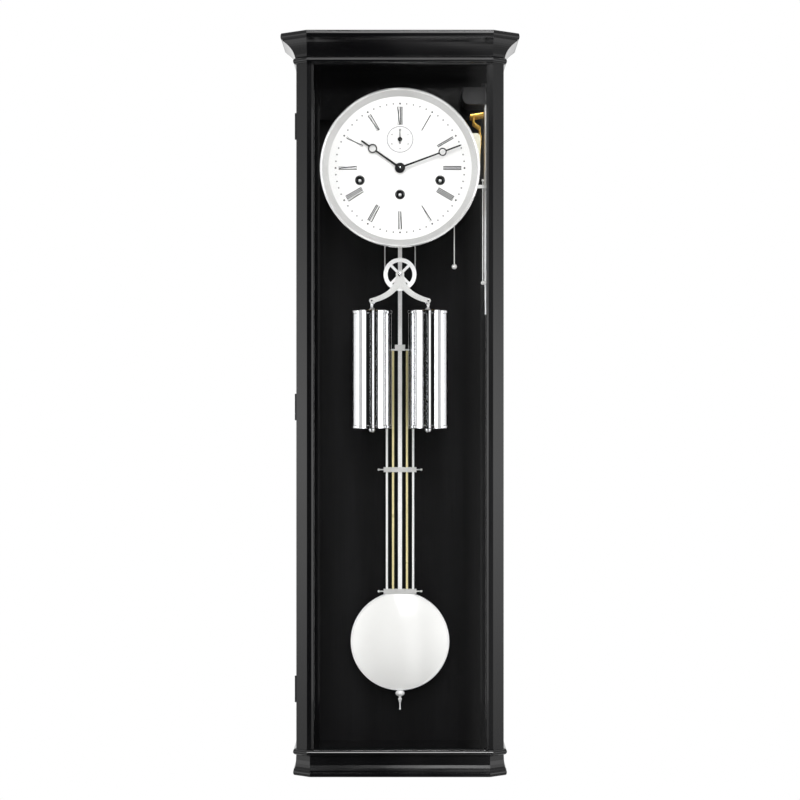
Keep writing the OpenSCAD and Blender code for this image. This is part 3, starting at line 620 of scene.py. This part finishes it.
# ---------------------------------------------------------------- hardware
GROMMET_LIP = 7.4 * MM  # outer radius of a winding bush's lip
WEIGHT_TOP_DROP = 55.3 * MM  # from the pulley's axle down to the top of the weights
HOOK_SIZE = (4.6 * MM, 1.3 * MM, 12 * MM)


class CLOCK_OT_hand_fittings(bpy.types.Operator):
    """Fit the hub rings and the slotted nut that hold the hands"""
    bl_idname = "clock.hand_fittings"
    bl_label = "Hand fittings"

    def execute(self, context):
        tip = front("minute_hand")
        inner = hoop((DIAL.x, tip + 1.2 * MM, DIAL.z), 3.3 * MM, 0.35 * MM, 48, 8)
        outer = hoop((DIAL.x, tip + 2.8 * MM, DIAL.z), 4.8 * MM, 0.35 * MM, 48, 8)
        settled(joined(inner, outer), "hub_rings", "black_steel", "minute_work")
        nut = slotted_head((DIAL.x, tip + 0.1 * MM, DIAL.z), 1.6 * MM, 1.8 * MM, 70)
        settled(nut, "hand_nut", "chrome", "minute_work")
        seconds = front("second_hand")
        cap = slotted_head((DIAL.x, seconds + 0.15 * MM, DIAL.z + SECONDS_UP), 1.5 * MM, 0.3 * MM, 0)
        settled(cap, "second_hand_cap", "nickel", "escape_work")
        return {"FINISHED"}


class CLOCK_OT_painted_shade_discs(bpy.types.Operator):
    """Close the foot of each winding hole with a black disc, through which the arbor comes: painted shade, a
    dark sheet where the depth of the hole is in shade
    """
    bl_idname = "clock.dust_shields"
    bl_label = "Painted shade discs"

    def execute(self, context):
        low, high = (Vector(corner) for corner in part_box("winding_grommets"))
        left, right = low.x + GROMMET_LIP, high.x - GROMMET_LIP
        upper, lower = high.z - GROMMET_LIP, low.z + GROMMET_LIP
        places = ((left, upper), ((low.x + high.x) / 2, lower), (right, upper))
        # painted shade: a black disc at the foot of each winding hole hides the lit brass behind it
        hole_shade_discs = [bevelled(disc((x, high.y - 0.6 * MM, z), 5.15 * MM, 0.8 * MM), 0.2 * MM)
                   for x, z in places]
        settled(joined(*hole_shade_discs), "dust_shields", "bush", "case")
        return {"FINISHED"}


class CLOCK_OT_screws(bpy.types.Operator):
    """Fit the slotted screw that holds the pulley in its yoke"""
    bl_idname = "clock.screws"
    bl_label = "Yoke screw"

    def execute(self, context):
        pulley = middle("pulley")
        hub = slotted_head((pulley.x, front("yoke") - 0.3 * MM, pulley.z), 3.2 * MM, 1.6 * MM, 35)
        settled(hub, "yoke_screw", "chrome", "carriage")
        return {"FINISHED"}


class CLOCK_OT_weight_caps(bpy.types.Operator):
    """Fit the conical cap and the twisted flat hook on top of each weight"""
    bl_idname = "clock.weight_caps"
    bl_label = "Weight caps and hooks"

    def execute(self, context):
        for side, body in (("left", "left_weight"), ("right", "right_weight")):
            top = Vector((middle("weight_" + side).x, LINE_Y, middle("pulley").z - WEIGHT_TOP_DROP))
            deselect()
            bpy.ops.mesh.primitive_cone_add(vertices=48, radius1=5.4 * MM, radius2=1.6 * MM, depth=5 * MM,
                                            location=top + Vector((0, 0, 2.8 * MM)))
            cap = bevelled(bpy.context.object, 0.4 * MM)
            settled(cap, "weight_cap_" + side, "bright", body)
            strip = block(top + Vector((0, 0, 10.2 * MM)), HOOK_SIZE)
            choose(strip)
            bpy.ops.object.mode_set(mode="EDIT")
            bpy.ops.mesh.select_all(action="SELECT")
            bpy.ops.mesh.subdivide(number_cuts=16)
            bpy.ops.object.mode_set(mode="OBJECT")
            twist = strip.modifiers.new("twist", "SIMPLE_DEFORM")
            twist.deform_method, twist.deform_axis, twist.angle = "TWIST", "Z", math.radians(180)
            bpy.ops.object.modifier_apply(modifier=twist.name)
            settled(strip, "weight_hook_" + side, "bright", body)
        return {"FINISHED"}


# ---------------------------------------------------------------- finishes
class CLOCK_OT_case_finish(bpy.types.Operator):
    """Finish the case and the door: black lacquer, stained back panel, glass and hinges"""
    bl_idname = "clock.case_finish"
    bl_label = "Case finish"

    def execute(self, context):
        paint("upright", "front_posts", "rear_posts", "door_stiles", "glass_stops")
        paint("level", "cornice", "base_moulding", "door_rails", "hanging_rail", "top_board", "bottom_board")
        paint("panel", "back_panel")
        paint("glass", "side_glass", "door_glass")
        paint("black_steel", "hinge_case_leaves", "hinge_door_leaves", "case_screws")
        paint("zinc", "hanger_plate")
        return {"FINISHED"}


class CLOCK_OT_dial_finish(bpy.types.Operator):
    """Finish the dial, its rings and its hands"""
    bl_idname = "clock.dial_finish"
    bl_label = "Dial finish"

    def execute(self, context):
        paint("enamel", "dial_disc")
        paint("ring", "dial_ring")
        paint("bezel", "bezel")
        paint("bush", "winding_grommets")
        paint("hand", "hour_hand", "minute_hand", "second_hand")
        return {"FINISHED"}


class CLOCK_OT_movement_finish(bpy.types.Operator):
    """Finish the movement, the weights, the pendulum and the chimes"""
    bl_idname = "clock.movement_finish"
    bl_label = "Movement finish"

    def execute(self, context):
        paint("brass", "front_plate", "back_plate", "pillars", "cannon_pinion", "hour_wheel",
              "minute_wheel", "escape_wheel", "third_wheel", "centre_wheel",
              "hammer_1", "hammer_2", "hammer_3", "hammer_4")
        paint("chrome", "weight_left", "weight_right")
        paint("gong", "spring_barrels", "cable_drum", "gong_rods")
        paint("nickel", "anchor_crutch", "yoke", "pendulum_bridges", "pull_left", "pull_right")
        # the pulley, bar, steel rods, rating nut and bob rim get the near-white painted reflection in place
        # of a nickel mirror
        paint("bright", "pulley", "pendulum_bar", "steel_rods", "rating_nut", "bob_rim")
        paint("rod", "brass_rods")
        paint("bob", "bob")
        paint("cable", "cable_run_left", "cable_run_right", "cable_loop")
        paint("bracket", "brackets")
        paint("iron", "gong_block")
        paint("base", "hammer_rail")
        return {"FINISHED"}


# ---------------------------------------------------------------- stage
# Places are in metres: x to the right, y away from the camera, z up
EYE = (0, -4.165, -0.471)
LENS = 119.76  # mm, on a sensor 36 mm wide
RISE = 0.00625  # vertical shift, as a share of the sensor's width
FLOOR_SIZE = 9
FLOOR_Z = -1.9
CARD_X = 0.1295  # from the middle to the bounce card at each side of the weights
WEIGHT_MID_Z = -0.47
BOB = (0, -0.03, -0.84)

# How bright the room is by direction, to all but the camera: degrees from -y, positive toward +x, and level
BANDS = ((-180, 0.95), (-115, 0.95), (-100, 0.5), (-80, 0.5), (-65, 1.0), (-38, 1.0), (-29, 0.012),
         (2, 0.012), (4, 1.4), (13, 1.4), (15, 0.012), (35, 0.012), (42, 1.0), (65, 1.0), (80, 0.5),
         (100, 0.5), (115, 0.95), (180, 0.95))


def lamp(name, place, aim, size, power):
    """A soft white rectangular lamp that looks at a point."""
    light = bpy.data.lights.new(name, "AREA")
    light.shape, light.size, light.size_y, light.energy = "RECTANGLE", size[0], size[1], power
    made = bpy.data.objects.new(name, light)
    bpy.context.collection.objects.link(made)
    made.location = place
    made.rotation_euler = (Vector(aim) - Vector(place)).to_track_quat("-Z", "Y").to_euler()
    made.visible_camera = False
    return made


class CLOCK_OT_stage(bpy.types.Operator):
    """Set the camera, the pale floor and the soft lights"""
    bl_idname = "clock.stage"
    bl_label = "Stage"

    def execute(self, context):
        scene = context.scene
        camera = bpy.data.cameras.new("camera")
        camera.lens, camera.sensor_width, camera.shift_y = LENS, 36, RISE
        held = bpy.data.objects.new("camera", camera)
        context.collection.objects.link(held)
        held.location = EYE
        held.rotation_euler = (FACE_ON, 0, 0)
        scene.camera = held
        scene.view_settings.view_transform = "Standard"

        deselect()
        bpy.ops.mesh.primitive_plane_add(size=FLOOR_SIZE, location=(0, 0, FLOOR_Z))
        floor = context.object
        floor.name = "floor"
        made, tree = material("pale_floor")
        speckle = pattern(tree, (60.0, 60.0, 60.0), 2.0)
        shader = add(tree, "ShaderNodeBsdfPrincipled", values={"Roughness": 0.7},
                     links={"Base Color": shaded(tree, speckle.outputs[0], linear("#F0F0EE"),
                                                 linear("#F5F5F3")).outputs[2]})
        finish_with(tree, shader)
        floor.data.materials.append(made)
        floor.visible_glossy = False

        target = (0, -0.1, -0.45)
        lamp("soft_left", (-2.66, -2.23, 0.1), target, (1.6, 2.6), 50)
        lamp("soft_right", (2.66, -2.23, 0.0), target, (1.6, 2.6), 40)
        lamp("high_fill", (0.2, -2.7, 1.8), target, (1.3, 0.8), 56)
        for side in (-1, 1):
            lamp("bounce_card", (side * CARD_X, -0.139, WEIGHT_MID_Z), (0, -0.139, WEIGHT_MID_Z),
                 (0.08, 0.95), 0.15)
        window = lamp("window", (0.72, -11.1, 3.62), BOB, (2.5, 3.7), 170)
        window.rotation_euler.rotate_axis("Z", math.radians(15))
        self.surround(scene)
        return {"FINISHED"}

    def surround(self, scene):
        """A white room with a dark opening where the front looks out, a bright strip in that opening, and
        bright panels at the sides. The camera itself sees plain white."""
        world = bpy.data.worlds.new("studio")
        world.use_nodes = True
        tree = world.node_tree
        tree.nodes.clear()
        place = add(tree, "ShaderNodeTexCoord")
        parts = add(tree, "ShaderNodeSeparateXYZ", links={0: place.outputs["Generated"]})
        toward = add(tree, "ShaderNodeMath", {"operation": "MULTIPLY"}, {1: -1.0}, {0: parts.outputs[1]})
        turn = add(tree, "ShaderNodeMath", {"operation": "ARCTAN2"}, links={0: parts.outputs[0],
                                                                          1: toward.outputs[0]})
        around = add(tree, "ShaderNodeMapRange",
                     values={"From Min": -math.pi, "From Max": math.pi, "To Min": 0.0, "To Max": 1.0},
                     links={"Value": turn.outputs[0]})
        bands = add(tree, "ShaderNodeValToRGB", links={"Fac": around.outputs[0]})
        stops = bands.color_ramp.elements
        for step, (degrees, level) in enumerate(BANDS):
            at = (degrees + 180) / 360
            stop = stops[step] if step < 2 else stops.new(at)
            stop.position = at
            stop.color = (level, level, level, 1)
        sides = add(tree, "ShaderNodeMath", {"operation": "ABSOLUTE"}, links={0: parts.outputs[0]})
        tight = add(tree, "ShaderNodeMath", {"operation": "POWER"}, {1: 24.0}, {0: sides.outputs[0]})
        height = add(tree, "ShaderNodeMath", {"operation": "ADD"}, {1: 0.015}, {0: parts.outputs[2]})
        square = add(tree, "ShaderNodeMath", {"operation": "MULTIPLY"},
                     links={0: height.outputs[0], 1: height.outputs[0]})
        fall = add(tree, "ShaderNodeMath", {"operation": "MULTIPLY"}, {1: -110.0}, {0: square.outputs[0]})
        glow = add(tree, "ShaderNodeMath", {"operation": "EXPONENT"}, links={0: fall.outputs[0]})
        panel = add(tree, "ShaderNodeMath", {"operation": "MULTIPLY"},
                    links={0: tight.outputs[0], 1: glow.outputs[0]})
        extra = add(tree, "ShaderNodeMath", {"operation": "MULTIPLY_ADD"}, {1: 2.8, 2: 1.0},
                    {0: panel.outputs[0]})
        room = add(tree, "ShaderNodeBackground", links={"Color": bands.outputs[0],
                                                        "Strength": extra.outputs[0]})
        seen = add(tree, "ShaderNodeBackground", values={"Color": (1, 1, 1, 1), "Strength": 1.0})
        path = add(tree, "ShaderNodeLightPath")
        mixed = add(tree, "ShaderNodeMixShader", links={0: path.outputs["Is Camera Ray"],
                                                        1: room.outputs[0], 2: seen.outputs[0]})
        add(tree, "ShaderNodeOutputWorld", links={"Surface": mixed.outputs[0]})
        scene.world = world


STEPS = (CLOCK_OT_case_finish, CLOCK_OT_dial_finish, CLOCK_OT_movement_finish, CLOCK_OT_numerals,
         CLOCK_OT_minute_dots, CLOCK_OT_seconds_dial, CLOCK_OT_hand_fittings, CLOCK_OT_painted_shade_discs,
         CLOCK_OT_screws, CLOCK_OT_weight_caps, CLOCK_OT_stage)


class CLOCK_PT_panel(bpy.types.Panel):
    """Builds the clock step by step"""
    bl_label = "Regulator clock"
    bl_idname = "CLOCK_PT_panel"
    bl_space_type = "VIEW_3D"
    bl_region_type = "UI"
    bl_category = "Clock"

    def draw(self, context):
        for group in (context.scene.clock_sizes, context.scene.clock_colours):
            for name in group.__annotations__:
                self.layout.prop(group, name)
        for step in STEPS:
            self.layout.operator(step.bl_idname)


CLASSES = (ClockSizes, ClockColours) + STEPS + (CLOCK_PT_panel,)


def register():
    for one in CLASSES:
        bpy.utils.register_class(one)
    bpy.types.Scene.clock_sizes = bpy.props.PointerProperty(type=ClockSizes)
    bpy.types.Scene.clock_colours = bpy.props.PointerProperty(type=ClockColours)


def unregister():
    del bpy.types.Scene.clock_colours
    del bpy.types.Scene.clock_sizes
    for one in reversed(CLASSES):
        bpy.utils.unregister_class(one)


def main():
    """Builds the clock: every step in turn."""
    register()
    for step in STEPS:
        group, name = step.bl_idname.split(".")
        getattr(getattr(bpy.ops, group), name)()


if __name__ == "__main__":
    main()
